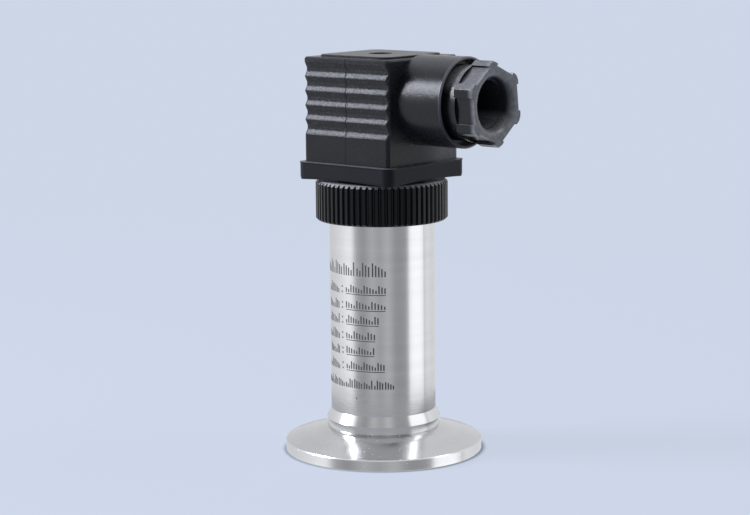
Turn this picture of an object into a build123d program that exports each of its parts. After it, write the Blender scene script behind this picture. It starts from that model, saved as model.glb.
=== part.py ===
from build123d import *
import math
import os

# Hygienic pressure transmitter, in millimetres. The origin is the centre of the sealing
# face at the bottom, +Z runs up the tube and +X runs out through the cable gland.

os.makedirs("parts", exist_ok=True)

# Clearances
sliding_gap = 0.10
running_gap = 0.05
moulded_gap = 0.02
thread_gap = 0.10
lifting_gap = 0.30

# Clamp ferrule for a 38 mm line
flange_r = 25.25
rim_height = 2.80
rim_edge = 0.15
rim_bevel = 0.20
flange_taper_deg = 17.1
collar_step = 1.11
collar_draft = 0.22
collar_lead = 0.45
collar_height = 2.29
cone_height = 2.55
gasket_groove_r = 21.75
gasket_bead_r = 1.55
recess_r = 16.20
recess_depth = 0.60
oil_bore_r = 0.80
spigot_wall = 2.35
pocket_depth_below_weld = 4.20
spigot_height = 8.00

# Flush diaphragm
diaphragm_thickness = 0.18
diaphragm_rim = 1.10
corrugation_height = 0.22
corrugation_width = 1.50
corrugation_radii = [5.5, 8.5, 11.5]

# Oil-filled sensor cell and what holds it
cell_height = 8.70
cell_seal_rise = 2.80
cell_seal_section_r = 0.65
seal_side_gap = 0.15
cell_oil_r = 7.00
cell_oil_depth = 0.40
header_r = 5.80
header_depth = 0.80
fill_ball_r = 0.95
retaining_ring_wall = 3.15
retaining_ring_height = 2.70
spanner_slot_width = 2.00
spanner_slot_depth = 1.00
pin_circle_r = 3.90
pin_r = 0.30
pin_count = 5
pin_tail = 0.60

# Housing tube
tube_r = 13.44
tube_wall = 1.44
tube_length = 50.60
neck_length = 5.90
neck_step = 0.94
neck_wall = 1.50
neck_bore_length = 7.50
thread_relief_depth = 0.45
thread_relief_width = 0.90
mouth_chamfer = 0.40
key_width = 2.00
key_depth = 1.20

# Electronics
holder_height = 2.50
holder_wall = 2.20
rail_height = 22.00
rail_width = 3.60
rail_thickness = 1.90
rail_groove = 0.80
sensor_board_gap = 0.40
sensor_board_rise = 0.60
sensor_board_thickness = 1.20
board_width = 18.80
board_thickness = 1.60
board_corner = 1.20
board_head_room = 9.70
chip_size = (4.00, 1.50, 6.20)
chip_rise = 12.50
chip_leg_count = 6
chip_leg = 0.38
chip_leg_reach = 0.90
transistor_size = (4.20, 1.60, 4.60)
transistor_place = (-5.20, 21.50)
capacitor_r = 2.05
capacitor_height = 5.20
capacitor_base = 4.40
capacitor_base_height = 0.80
capacitor_place = (5.40, 7.50)
capacitor_pitch = 5.60
resistor_size = (2.00, 0.60, 1.25)
resistor_pitch = (3.20, 2.60)
resistor_place = (-4.80, 6.40)
resistor_grid = (2, 3)
plug_pitch = 2.50
plug_width = 7.50
plug_depth = 2.70
plug_height = 8.00
plug_insertion = 4.60
socket_wall = 0.90
socket_floor = 1.40
socket_drop = 0.40
lead_r = 0.32
wire_r = 0.60
wire_bend_r = 2.20

# Socket base
base_flange_thickness = 1.50
block_ledge = 1.00
block_rise = 2.00
base_spigot_length = 4.90
base_seal_drop = 2.20
base_seal_section_r = 0.60
contact_circle_r = 9.00
blade_width = 6.30
blade_thickness = 0.80
blade_height = 8.00
blade_foot = 3.90
earth_extra = 1.00
blade_tip = 0.60
blade_tip_taper_deg = 20
tail_width = 2.40
tail_length = 2.60
insert_r = 2.60
insert_length = 6.60
insert_drop = 1.00

# Knurled union ring
ring_wall = 3.65
rib_height = 0.56
rib_count = 66
rib_tip_share = 0.42
rib_root_share = 0.80
ring_overlap = 1.65
ring_lip_thickness = 1.05
ring_top_chamfer = 0.75
ring_bottom_chamfer = 0.50

# Plug housing
housing_side = 27.74
housing_corner_r = 1.04
housing_height = 29.10
housing_edge_chamfer = 0.40
housing_wall = 1.90
ceiling = 2.10
cavity_corner_r = 0.60
groove_count = 5
groove_pitch = 3.64
groove_depth = 0.55
groove_floor = 0.80
first_groove_drop = 3.10
plateau_side = 22.80
plateau_corner_r = 2.60
plateau_height = 0.55
plateau_chamfer = 0.18
screw_recess_r = 3.00
screw_recess_depth = 2.95
tower_wall = 1.10

# Cable gland
gland_drop = 10.50
boss_r = 11.30
boss_end_x = 27.80
boss_chamfer = 0.35
boss_counterbore_r = 10.60
boss_counterbore_depth = 2.40
gland_thread_r = 9.30
seal_seat_x = 15.50
cable_way_r = 6.50
gland_seal_length = 5.40
gland_seal_bore_r = 4.50
gland_seal_groove = 0.35
gland_seal_grooves = 2
gland_washer_thickness = 0.90
gland_washer_bore_r = 6.20
hex_length = 5.46
hex_corner_r = 10.80
hex_turn_deg = 7.0
hex_tip_fillet = 0.45
hex_edge_chamfer = 0.25
hex_back_chamfer = 0.25
nut_collar_length = 1.30
nut_collar_step = 0.20
pad_length = 2.10
pad_height = 0.62
shank_reach = 9.15
nut_bore_r = 5.90
nut_bore_length = 11.70
mouth_step = 0.25
mouth_flare = 2.40

# Profile gasket
web_thickness = 1.20
skirt_thickness = 1.40
skirt_fit = 0.04
skirt_corner_r = 2.50
skirt_foot_drop = 0.70
skirt_foot_taper = 0.20
skirt_foot_arch = 0.60
skirt_lip_rise = 3.80
skirt_lip_height = 0.90
skirt_lip_arch = 0.50
skirt_lip_flare = 0.32
web_screw_hole_gap = 0.40
web_slot_gap = 0.20

# Terminal carrier and contacts
carrier_lift = 0.40
carrier_height = 11.40
contact_floor = 1.00
contact_width = 7.20
contact_depth = 3.00
contact_stand = 1.60
conductor_r = 1.10
conductor_drop = 2.00
clamp_screw_r = 1.45
clamp_screw_depth = 2.80
clamp_head_r = 2.40
clamp_head_height = 1.60
driver_slot_width = 0.70
driver_slot_depth = 0.80

# Centre screw
screw_r = 1.50
screw_head_r = 2.72
screw_head_height = 2.00
screw_engagement = 4.00
screw_tip_chamfer = 0.35
washer_thickness = 0.40
washer_r = 2.85

# Radii that follow from the tube's and their walls
tube_bore_r = tube_r - tube_wall
collar_r = tube_r + collar_step
ferrule_neck_r = collar_r - collar_draft
spigot_r = tube_bore_r - running_gap
pocket_r = spigot_r - spigot_wall
holder_r = tube_bore_r - 2 * sliding_gap
neck_thread_r = tube_r - neck_step
neck_bore_r = neck_thread_r - neck_wall
base_flange_r = neck_thread_r - lifting_gap
block_r = base_flange_r - block_ledge
ring_thread_r = neck_thread_r + thread_gap
rib_root_r = ring_thread_r + ring_wall
rib_tip_r = rib_root_r + rib_height

# Heights and places that follow from the sizes above
neck_z = rim_height + (flange_r - ferrule_neck_r) * math.tan(math.radians(flange_taper_deg))
collar_top_z = neck_z + collar_height
weld_z = collar_top_z + cone_height
pocket_floor_z = weld_z - pocket_depth_below_weld
spigot_top_z = weld_z + spigot_height
shoulder_z = weld_z + tube_length
neck_top_z = shoulder_z + neck_length
base_bottom_z = neck_top_z - base_spigot_length
base_flange_top_z = neck_top_z + base_flange_thickness
base_top_z = base_flange_top_z + block_rise
tail_bottom_z = base_bottom_z - tail_length
blade_top_z = base_top_z + blade_height
ring_bottom_z = shoulder_z - ring_overlap
ring_lip_z = base_flange_top_z + sliding_gap
ring_top_z = ring_lip_z + ring_lip_thickness
housing_bottom_z = base_top_z + web_thickness
housing_edge_z = housing_bottom_z + housing_height
housing_top_z = housing_edge_z + plateau_height
ceiling_z = housing_edge_z - ceiling
cavity_side = housing_side - 2 * housing_wall
gland_z = housing_edge_z - gland_drop
cell_top_z = pocket_floor_z + cell_height
header_floor_z = cell_top_z - header_depth
sensor_board_z = spigot_top_z + sensor_board_rise
board_bottom_z = sensor_board_z + sensor_board_thickness
board_top_z = tail_bottom_z - board_head_room
board_face_y = board_thickness / 2
screw_hole_r = screw_r + 2 * sliding_gap


def spin(points, axis=Axis.Z, mode=Mode.ADD):
    """Turns a closed outline of (x, z) points about an axis, as on a lathe."""
    with BuildSketch(Plane.XZ) as outline:
        with BuildLine():
            Polyline(*points, close=True)
        make_face()
    revolve(outline.sketch, axis=axis, mode=mode)


def ring_points(inner_r, outer_r, low_z, high_z):
    """Outline of a plain ring about the tube's axis."""
    return [(inner_r, low_z), (outer_r, low_z), (outer_r, high_z), (inner_r, high_z)]


# Clamp ferrule: flange, taper, collar, spigot and sensor pocket turned as one piece
with BuildPart() as clamp_ferrule:
    spin(
        [
            (oil_bore_r, recess_depth),
            (recess_r, recess_depth),
            (recess_r, 0),
            (flange_r - rim_edge, 0),
            (flange_r, rim_edge),
            (flange_r, rim_height - rim_bevel),
            (flange_r - rim_bevel, rim_height + rim_bevel * math.tan(math.radians(flange_taper_deg))),
            (ferrule_neck_r, neck_z),
            (collar_r, neck_z + collar_lead),
            (collar_r, collar_top_z),
            (tube_r, weld_z),
            (spigot_r, weld_z),
            (spigot_r, spigot_top_z),
            (pocket_r, spigot_top_z),
            (pocket_r, pocket_floor_z),
            (oil_bore_r, pocket_floor_z),
        ]
    )
    with BuildSketch(Plane.XZ):
        with Locations((gasket_groove_r, 0)):
            Circle(gasket_bead_r)
    revolve(axis=Axis.Z, mode=Mode.SUBTRACT)
clamp_ferrule.part.label = "clamp_ferrule"
export_step(clamp_ferrule.part, "parts/clamp_ferrule.step")


def corrugated_line(z, start_r, end_r):
    """Adds one face of the diaphragm, from start_r to end_r, with an arc at each wave."""
    half = math.copysign(corrugation_width / 2, end_r - start_r)
    point = (start_r, z)
    for centre in sorted(corrugation_radii, reverse=half < 0):
        Line(point, (centre - half, z))
        ThreePointArc((centre - half, z), (centre, z - corrugation_height), (centre + half, z))
        point = (centre + half, z)
    Line(point, (end_r, z))


# Isolating diaphragm: thin corrugated disc, its rim welded in the ferrule's recess
with BuildPart() as isolating_diaphragm:
    with BuildSketch(Plane.XZ):
        edge_r = recess_r - moulded_gap
        rim_r = edge_r - diaphragm_rim
        front_z = recess_depth - diaphragm_thickness
        back_z = recess_depth - moulded_gap
        with BuildLine():
            corrugated_line(front_z, 0, edge_r)
            Polyline((edge_r, front_z), (edge_r, recess_depth), (rim_r, recess_depth), (rim_r, back_z))
            corrugated_line(back_z, rim_r, 0)
            Line((0, back_z), (0, front_z))
        make_face()
    revolve(axis=Axis.Z)
isolating_diaphragm.part.label = "isolating_diaphragm"
export_step(isolating_diaphragm.part, "parts/isolating_diaphragm.step")

# Sensor cell: steel capsule with a seal groove, an oil face below and a header on top
cell_r = pocket_r - sliding_gap
cell_seal_z = pocket_floor_z + cell_seal_rise
cell_seal_centre_r = pocket_r - moulded_gap - cell_seal_section_r
cell_groove_r = cell_seal_centre_r - cell_seal_section_r - moulded_gap
cell_groove_half = cell_seal_section_r + seal_side_gap
with BuildPart() as sensor_cell:
    spin(
        [
            (0, pocket_floor_z + cell_oil_depth),
            (cell_oil_r, pocket_floor_z + cell_oil_depth),
            (cell_oil_r, pocket_floor_z),
            (cell_r, pocket_floor_z),
            (cell_r, cell_seal_z - cell_groove_half),
            (cell_groove_r, cell_seal_z - cell_groove_half),
            (cell_groove_r, cell_seal_z + cell_groove_half),
            (cell_r, cell_seal_z + cell_groove_half),
            (cell_r, cell_top_z),
            (header_r, cell_top_z),
            (header_r, header_floor_z),
            (0, header_floor_z),
        ]
    )
    with Locations((0, 0, header_floor_z)):
        Hole(fill_ball_r + moulded_gap, depth=2 * fill_ball_r)
sensor_cell.part.label = "sensor_cell"
export_step(sensor_cell.part, "parts/sensor_cell.step")

# Fill ball: closes the oil port in the middle of the header
with BuildPart() as fill_ball:
    with Locations((0, 0, header_floor_z - fill_ball_r)):
        Sphere(fill_ball_r)
fill_ball.part.label = "fill_ball"
export_step(fill_ball.part, "parts/fill_ball.step")

# Sensor seal: o-ring between the cell and its pocket
with BuildPart() as sensor_seal:
    with Locations((0, 0, cell_seal_z)):
        Torus(cell_seal_centre_r, cell_seal_section_r)
sensor_seal.part.label = "sensor_seal"
export_step(sensor_seal.part, "parts/sensor_seal.step")

# Retaining ring: threaded ring with two spanner slots that holds the cell down
with BuildPart() as retaining_ring:
    ring_end_z = cell_top_z + retaining_ring_height
    ring_outer_r = pocket_r - running_gap
    spin(ring_points(ring_outer_r - retaining_ring_wall, ring_outer_r, cell_top_z, ring_end_z))
    with BuildSketch(Plane.XY.offset(ring_end_z)):
        Rectangle(2 * pocket_r, spanner_slot_width)
    extrude(amount=-spanner_slot_depth, mode=Mode.SUBTRACT)
retaining_ring.part.label = "retaining_ring"
export_step(retaining_ring.part, "parts/retaining_ring.step")

# Sensor pins: sealed leads from the cell's header up through the round board
with BuildPart() as sensor_pins:
    with BuildSketch(Plane.XY.offset(header_floor_z)):
        with PolarLocations(pin_circle_r, pin_count, start_angle=90):
            Circle(pin_r)
    extrude(amount=board_bottom_z + pin_tail - header_floor_z)
sensor_pins.part.label = "sensor_pins"
export_step(sensor_pins.part, "parts/sensor_pins.step")

# Housing tube: turned tube with a threaded neck and a key notch in its mouth
relief_r = neck_thread_r - thread_relief_depth
relief_top_z = shoulder_z + thread_relief_width
with BuildPart() as housing_tube:
    spin(
        [
            (tube_bore_r, weld_z),
            (tube_r, weld_z),
            (tube_r, shoulder_z),
            (relief_r, shoulder_z),
            (relief_r, relief_top_z),
            (neck_thread_r, relief_top_z + thread_relief_depth),
            (neck_thread_r, neck_top_z - mouth_chamfer),
            (neck_thread_r - mouth_chamfer, neck_top_z),
            (neck_bore_r + mouth_chamfer, neck_top_z),
            (neck_bore_r, neck_top_z - mouth_chamfer),
            (neck_bore_r, neck_top_z - neck_bore_length),
            (tube_bore_r, neck_top_z - neck_bore_length),
        ]
    )
    with BuildSketch(Plane.XY.offset(neck_top_z)):
        with Locations((0, (neck_bore_r + neck_thread_r) / 2)):
            Rectangle(key_width, 2 * (neck_thread_r - neck_bore_r))
    extrude(amount=-key_depth, mode=Mode.SUBTRACT)
housing_tube.part.label = "housing_tube"
export_step(housing_tube.part, "parts/housing_tube.step")

# Board holder: moulded ring on the ferrule's spigot, with two grooved rails
rail_x = board_width / 2 - rail_groove + rail_thickness / 2
with BuildPart() as board_holder:
    spin(ring_points(holder_r - holder_wall, holder_r, spigot_top_z, spigot_top_z + holder_height))
    with BuildSketch(Plane.XY.offset(spigot_top_z + holder_height)):
        with Locations((rail_x, 0), (-rail_x, 0)):
            Rectangle(rail_thickness, rail_width)
    extrude(amount=rail_height)
    with BuildSketch(Plane.XY.offset(spigot_top_z)):
        Rectangle(board_width + 2 * moulded_gap, board_thickness + 2 * moulded_gap)
    extrude(amount=holder_height + rail_height, mode=Mode.SUBTRACT)
board_holder.part.label = "board_holder"
export_step(board_holder.part, "parts/board_holder.step")

# Sensor board: round board soldered on the sensor pins
with BuildPart() as sensor_board:
    with BuildSketch(Plane.XY.offset(sensor_board_z)):
        Circle(holder_r - holder_wall - sensor_board_gap)
        with PolarLocations(pin_circle_r, pin_count, start_angle=90):
            Circle(pin_r + moulded_gap, mode=Mode.SUBTRACT)
    extrude(amount=sensor_board_thickness)
sensor_board.part.label = "sensor_board"
export_step(sensor_board.part, "parts/sensor_board.step")

# Amplifier board: upright board in the rails, standing on the round board
board_height = board_top_z - board_bottom_z
with BuildPart() as amplifier_board:
    with BuildSketch(Plane.XZ.offset(-board_face_y)):
        with Locations((0, board_bottom_z + board_height / 2)):
            RectangleRounded(board_width, board_height, board_corner)
    extrude(amount=board_thickness)
amplifier_board.part.label = "amplifier_board"
export_step(amplifier_board.part, "parts/amplifier_board.step")


def on_board(place, size, grid=(1, 1), pitch=(1, 1)):
    """Adds blocks of size (x, y, z) on the board's front, from place (x, height)."""
    with BuildSketch(Plane.XZ.offset(board_face_y)) as footprint:
        with Locations((place[0], board_bottom_z + place[1])):
            with GridLocations(pitch[0], pitch[1], grid[0], grid[1]):
                Rectangle(size[0], size[2])
    extrude(footprint.sketch, amount=size[1])


# Signal chip: moulded package with a row of legs on each side
leg_pitch = (chip_size[0] + chip_leg_reach, chip_size[2] / chip_leg_count)
with BuildPart() as signal_chip:
    on_board((0, chip_rise), chip_size)
    on_board((0, chip_rise), (chip_leg_reach, chip_leg, chip_leg), (2, chip_leg_count), leg_pitch)
signal_chip.part.label = "signal_chip"
export_step(signal_chip.part, "parts/signal_chip.step")

# Output transistor: package with a tab along its top
tab_height = transistor_size[2] / 4
with BuildPart() as output_transistor:
    on_board(transistor_place, transistor_size)
    tab_rise = transistor_place[1] + (transistor_size[2] + tab_height) / 2
    on_board((transistor_place[0], tab_rise), (transistor_size[0] / 2, chip_leg, tab_height))
output_transistor.part.label = "output_transistor"
export_step(output_transistor.part, "parts/output_transistor.step")

# Filter capacitors: two cans on square bases
with BuildPart() as filter_capacitors:
    base_size = (capacitor_base, capacitor_base_height, capacitor_base)
    on_board(capacitor_place, base_size, (1, 2), (1, capacitor_pitch))
    with BuildSketch(Plane.XZ.offset(board_face_y + capacitor_base_height)):
        with Locations((capacitor_place[0], board_bottom_z + capacitor_place[1])):
            with GridLocations(1, capacitor_pitch, 1, 2):
                Circle(capacitor_r)
    extrude(amount=capacitor_height)
filter_capacitors.part.label = "filter_capacitors"
export_step(filter_capacitors.part, "parts/filter_capacitors.step")

# Chip resistors: a small grid on the board's front
with BuildPart() as chip_resistors:
    on_board(resistor_place, resistor_size, resistor_grid, resistor_pitch)
chip_resistors.part.label = "chip_resistors"
export_step(chip_resistors.part, "parts/chip_resistors.step")

# Board socket: shrouded three-pin socket behind the board, open at the top
socket_top_z = board_top_z - socket_drop
plug_bottom_z = socket_top_z - plug_insertion
plug_top_z = plug_bottom_z + plug_height
socket_depth = plug_depth + 2 * (socket_wall + sliding_gap)
socket_width = plug_width + 2 * (socket_wall + sliding_gap)
plug_y = board_face_y + socket_depth / 2
lead_plane = Plane.XY.offset(plug_bottom_z - sliding_gap)
with BuildPart() as board_socket:
    with BuildSketch(lead_plane.offset(-socket_floor)):
        with Locations((0, plug_y)):
            Rectangle(socket_width, socket_depth)
    extrude(amount=socket_floor + sliding_gap + plug_insertion)
    with BuildSketch(lead_plane):
        with Locations((0, plug_y)):
            Rectangle(plug_width + 2 * sliding_gap, plug_depth + 2 * sliding_gap)
    extrude(amount=sliding_gap + plug_insertion, mode=Mode.SUBTRACT)
    with BuildSketch(lead_plane):
        with Locations((0, plug_y)):
            with GridLocations(plug_pitch, 1, 3, 1):
                Circle(lead_r)
    extrude(amount=plug_insertion - sliding_gap)
board_socket.part.label = "board_socket"
export_step(board_socket.part, "parts/board_socket.step")

# Board plug: sits in the board socket and hangs on the wires
with BuildPart() as board_plug:
    with BuildSketch(Plane.XY.offset(plug_bottom_z)):
        with Locations((0, plug_y)):
            Rectangle(plug_width, plug_depth)
    extrude(amount=plug_height)
    with BuildSketch(Plane.XY.offset(plug_bottom_z)):
        with Locations((0, plug_y)):
            with GridLocations(plug_pitch, 1, 3, 1):
                Circle(lead_r + sliding_gap)
    extrude(amount=plug_insertion, mode=Mode.SUBTRACT)
board_plug.part.label = "board_plug"
export_step(board_plug.part, "parts/board_plug.step")

# Wire harness: three wires from the board plug up to the tails of the blades
bend_z = (plug_top_z + tail_bottom_z) / 2
wire_ends = [(-contact_circle_r, 0), (0, contact_circle_r), (contact_circle_r, 0)]
with BuildPart() as wire_harness:
    for index, (end_x, end_y) in enumerate(wire_ends):
        start_x = (index - 1) * plug_pitch
        with BuildLine() as route:
            FilletPolyline(
                (start_x, plug_y, plug_top_z),
                (start_x, plug_y, bend_z),
                (end_x, end_y, bend_z),
                (end_x, end_y, tail_bottom_z),
                radius=wire_bend_r,
            )
        with BuildSketch(Plane.XY.offset(plug_top_z)):
            with Locations((start_x, plug_y)):
                Circle(wire_r)
        sweep(path=route.wires()[0])
wire_harness.part.label = "wire_harness"
export_step(wire_harness.part, "parts/wire_harness.step")

# Socket base: keyed flange on the tube's mouth, spigot with a seal groove, contact block
base_spigot_r = neck_bore_r - lifting_gap
base_seal_z = neck_top_z - base_seal_drop
base_seal_centre_r = neck_bore_r - running_gap - base_seal_section_r
base_groove_r = base_seal_centre_r - base_seal_section_r - moulded_gap
base_groove_half = base_seal_section_r + seal_side_gap
insert_top_z = base_top_z - insert_drop
with BuildPart() as socket_base:
    spin(
        [
            (insert_r + moulded_gap, base_bottom_z),
            (base_spigot_r, base_bottom_z),
            (base_spigot_r, base_seal_z - base_groove_half),
            (base_groove_r, base_seal_z - base_groove_half),
            (base_groove_r, base_seal_z + base_groove_half),
            (base_spigot_r, base_seal_z + base_groove_half),
            (base_spigot_r, neck_top_z),
            (base_flange_r, neck_top_z),
            (base_flange_r, base_flange_top_z),
            (block_r, base_flange_top_z),
            (block_r, base_top_z),
            (screw_hole_r, base_top_z),
            (screw_hole_r, insert_top_z),
            (insert_r + moulded_gap, insert_top_z),
        ]
    )
    with BuildSketch(Plane.XY.offset(neck_top_z)):
        with Locations((0, (base_groove_r + base_flange_r) / 2)):
            Rectangle(key_width - 2 * sliding_gap, base_flange_r - base_groove_r)
    extrude(amount=-(key_depth - sliding_gap))
    with BuildSketch(Plane.XY.offset(base_bottom_z + blade_foot)):
        with PolarLocations(contact_circle_r, 4):
            Rectangle(blade_thickness + 2 * moulded_gap, blade_width + 2 * moulded_gap)
    extrude(until=Until.LAST, mode=Mode.SUBTRACT)
    with BuildSketch(Plane.XY.offset(base_bottom_z)):
        with PolarLocations(contact_circle_r, 4):
            Rectangle(blade_thickness + 2 * moulded_gap, tail_width + 2 * moulded_gap)
    extrude(amount=blade_foot, mode=Mode.SUBTRACT)
socket_base.part.label = "socket_base"
export_step(socket_base.part, "parts/socket_base.step")


def blades(places, height):
    """Adds a flat blade with a tapered tip and a narrow solder tail at each place."""
    foot_z = base_bottom_z + blade_foot
    tip_z = base_top_z + height - blade_tip
    with BuildSketch(Plane.XY.offset(foot_z)) as foot:
        with places:
            Rectangle(blade_thickness, blade_width)
    extrude(foot.sketch, amount=tip_z - foot_z)
    with BuildSketch(Plane.XY.offset(tip_z)) as shoulder:
        with places:
            Rectangle(blade_thickness, blade_width)
    extrude(shoulder.sketch, amount=blade_tip, taper=blade_tip_taper_deg)
    with BuildSketch(Plane.XY.offset(tail_bottom_z)) as tail:
        with places:
            Rectangle(blade_thickness, tail_width)
    extrude(tail.sketch, amount=foot_z - tail_bottom_z)


# Contact blades: three flat blades moulded through the base
with BuildPart() as contact_blades:
    blades(PolarLocations(contact_circle_r, 3, 0, 180, endpoint=True), blade_height)
contact_blades.part.label = "contact_blades"
export_step(contact_blades.part, "parts/contact_blades.step")

# Earth blade: the fourth blade, longer so that it meets its contact first
with BuildPart() as earth_blade:
    blades(PolarLocations(contact_circle_r, 1, 270), blade_height + earth_extra)
earth_blade.part.label = "earth_blade"
export_step(earth_blade.part, "parts/earth_blade.step")

# Screw insert: threaded brass bush for the centre screw
with BuildPart() as screw_insert:
    insert_points = ring_points(screw_r + running_gap, insert_r, insert_top_z - insert_length, insert_top_z)
    spin(insert_points)
screw_insert.part.label = "screw_insert"
export_step(screw_insert.part, "parts/screw_insert.step")

# Base seal: o-ring between the base's spigot and the tube's neck
with BuildPart() as base_seal:
    with Locations((0, 0, base_seal_z)):
        Torus(base_seal_centre_r, base_seal_section_r)
base_seal.part.label = "base_seal"
export_step(base_seal.part, "parts/base_seal.step")

# Union ring: ribbed ring threaded on the neck, its lip over the base's flange
rib_pitch = 2 * math.pi / rib_count
tip_half = rib_tip_share * rib_pitch * rib_tip_r / 2
root_half = rib_root_share * rib_pitch * rib_root_r / 2
ring_lip_r = block_r + lifting_gap
with BuildPart() as union_ring:
    with BuildSketch(Plane.XY.offset(ring_bottom_z)):
        Circle(rib_root_r)
        with PolarLocations(rib_root_r, rib_count):
            Polygon(
                (-rib_height, -root_half),
                (0, -root_half),
                (rib_height, -tip_half),
                (rib_height, tip_half),
                (0, root_half),
                (-rib_height, root_half),
                align=None,
            )
    extrude(amount=ring_top_z - ring_bottom_z)
    envelope_r = rib_tip_r + rib_height
    spin(
        [
            (0, ring_bottom_z),
            (rib_tip_r - ring_bottom_chamfer, ring_bottom_z),
            (rib_tip_r, ring_bottom_z + ring_bottom_chamfer),
            (envelope_r, ring_bottom_z + ring_bottom_chamfer),
            (envelope_r, ring_top_z - ring_top_chamfer),
            (rib_tip_r, ring_top_z - ring_top_chamfer),
            (rib_tip_r - ring_top_chamfer, ring_top_z),
            (0, ring_top_z),
        ],
        mode=Mode.INTERSECT,
    )
    spin(
        [
            (0, ring_bottom_z),
            (tube_r + lifting_gap, ring_bottom_z),
            (tube_r + lifting_gap, shoulder_z + lifting_gap),
            (ring_thread_r, shoulder_z + lifting_gap),
            (ring_thread_r, ring_lip_z),
            (ring_lip_r, ring_lip_z),
            (ring_lip_r, ring_top_z),
            (0, ring_top_z),
        ],
        mode=Mode.SUBTRACT,
    )
union_ring.part.label = "union_ring"
export_step(union_ring.part, "parts/union_ring.step")


def rounded_levels(levels):
    """Lofts between rounded rectangles, each (height, middle's x, length, width, corner radius)."""
    sections = []
    for z, middle_x, length, width, corner_r in levels:
        with BuildSketch(Plane.XY.offset(z)) as section:
            with Locations((middle_x, 0)):
                RectangleRounded(length, width, corner_r)
        sections.append(section.sketch.face())
    loft(sections, ruled=True)


def arch_cut(corner_z, arch, half, away):
    """Cuts all that lies beyond an arched edge, seen along X and along Y."""
    for plane in (Plane.XZ, Plane.YZ):
        far_z = corner_z + away
        with BuildSketch(plane) as beyond:
            with BuildLine():
                ThreePointArc((-half, corner_z), (0, corner_z + arch), (half, corner_z))
                Polyline((half, corner_z), (half, far_z), (-half, far_z), (-half, corner_z))
            make_face()
        extrude(beyond.sketch, amount=half, both=True, mode=Mode.SUBTRACT)


# Profile gasket: rubber web under the plug with a skirt round its foot, edges arched
skirt_inner = housing_side + 2 * skirt_fit
skirt_side = skirt_inner + 2 * skirt_thickness
skirt_foot_z = base_top_z - skirt_foot_drop
skirt_lip_z = base_top_z + skirt_lip_rise
skirt_end_z = skirt_lip_z + skirt_lip_arch
skirt_reach = skirt_side / 2 + skirt_lip_flare + lifting_gap
with BuildPart() as profile_gasket:
    skirt_levels = [
        (skirt_foot_z, -skirt_foot_taper),
        (skirt_foot_z + skirt_lip_height, 0),
        (skirt_end_z - skirt_lip_height, 0),
        (skirt_end_z, skirt_lip_flare),
    ]
    rounded_levels(
        [(z, 0, skirt_side + 2 * out, skirt_side + 2 * out, skirt_corner_r + out) for z, out in skirt_levels]
    )
    with BuildSketch(Plane.XY.offset(housing_bottom_z)):
        RectangleRounded(skirt_inner, skirt_inner, housing_corner_r + skirt_fit)
    extrude(amount=skirt_end_z - housing_bottom_z, mode=Mode.SUBTRACT)
    with BuildSketch(Plane.XY.offset(skirt_foot_z)):
        RectangleRounded(skirt_inner, skirt_inner, housing_corner_r + skirt_fit)
    extrude(amount=base_top_z - skirt_foot_z, mode=Mode.SUBTRACT)
    with BuildSketch(Plane.XY.offset(base_top_z)):
        Circle(screw_r + web_screw_hole_gap)
        with PolarLocations(contact_circle_r, 4):
            Rectangle(blade_thickness + 2 * web_slot_gap, blade_width + 2 * web_slot_gap)
    extrude(amount=web_thickness, mode=Mode.SUBTRACT)
    arch_cut(skirt_foot_z, skirt_foot_arch, skirt_reach, -skirt_lip_height)
    arch_cut(skirt_lip_z, skirt_lip_arch, skirt_reach, skirt_lip_height)
profile_gasket.part.label = "profile_gasket"
export_step(profile_gasket.part, "parts/profile_gasket.step")

# Plug housing: square cap ribbed on three sides, raised top, screw recess and gland boss
groove_slope = (groove_pitch - groove_floor) / 2
recess_floor_z = housing_top_z - screw_recess_depth
carrier_top_z = housing_bottom_z + carrier_lift + carrier_height
boss_root_x = housing_side / 2 - housing_edge_chamfer
boss_bore_r = gland_thread_r + thread_gap
gland_axis = Axis((0, 0, gland_z), (1, 0, 0))
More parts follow.
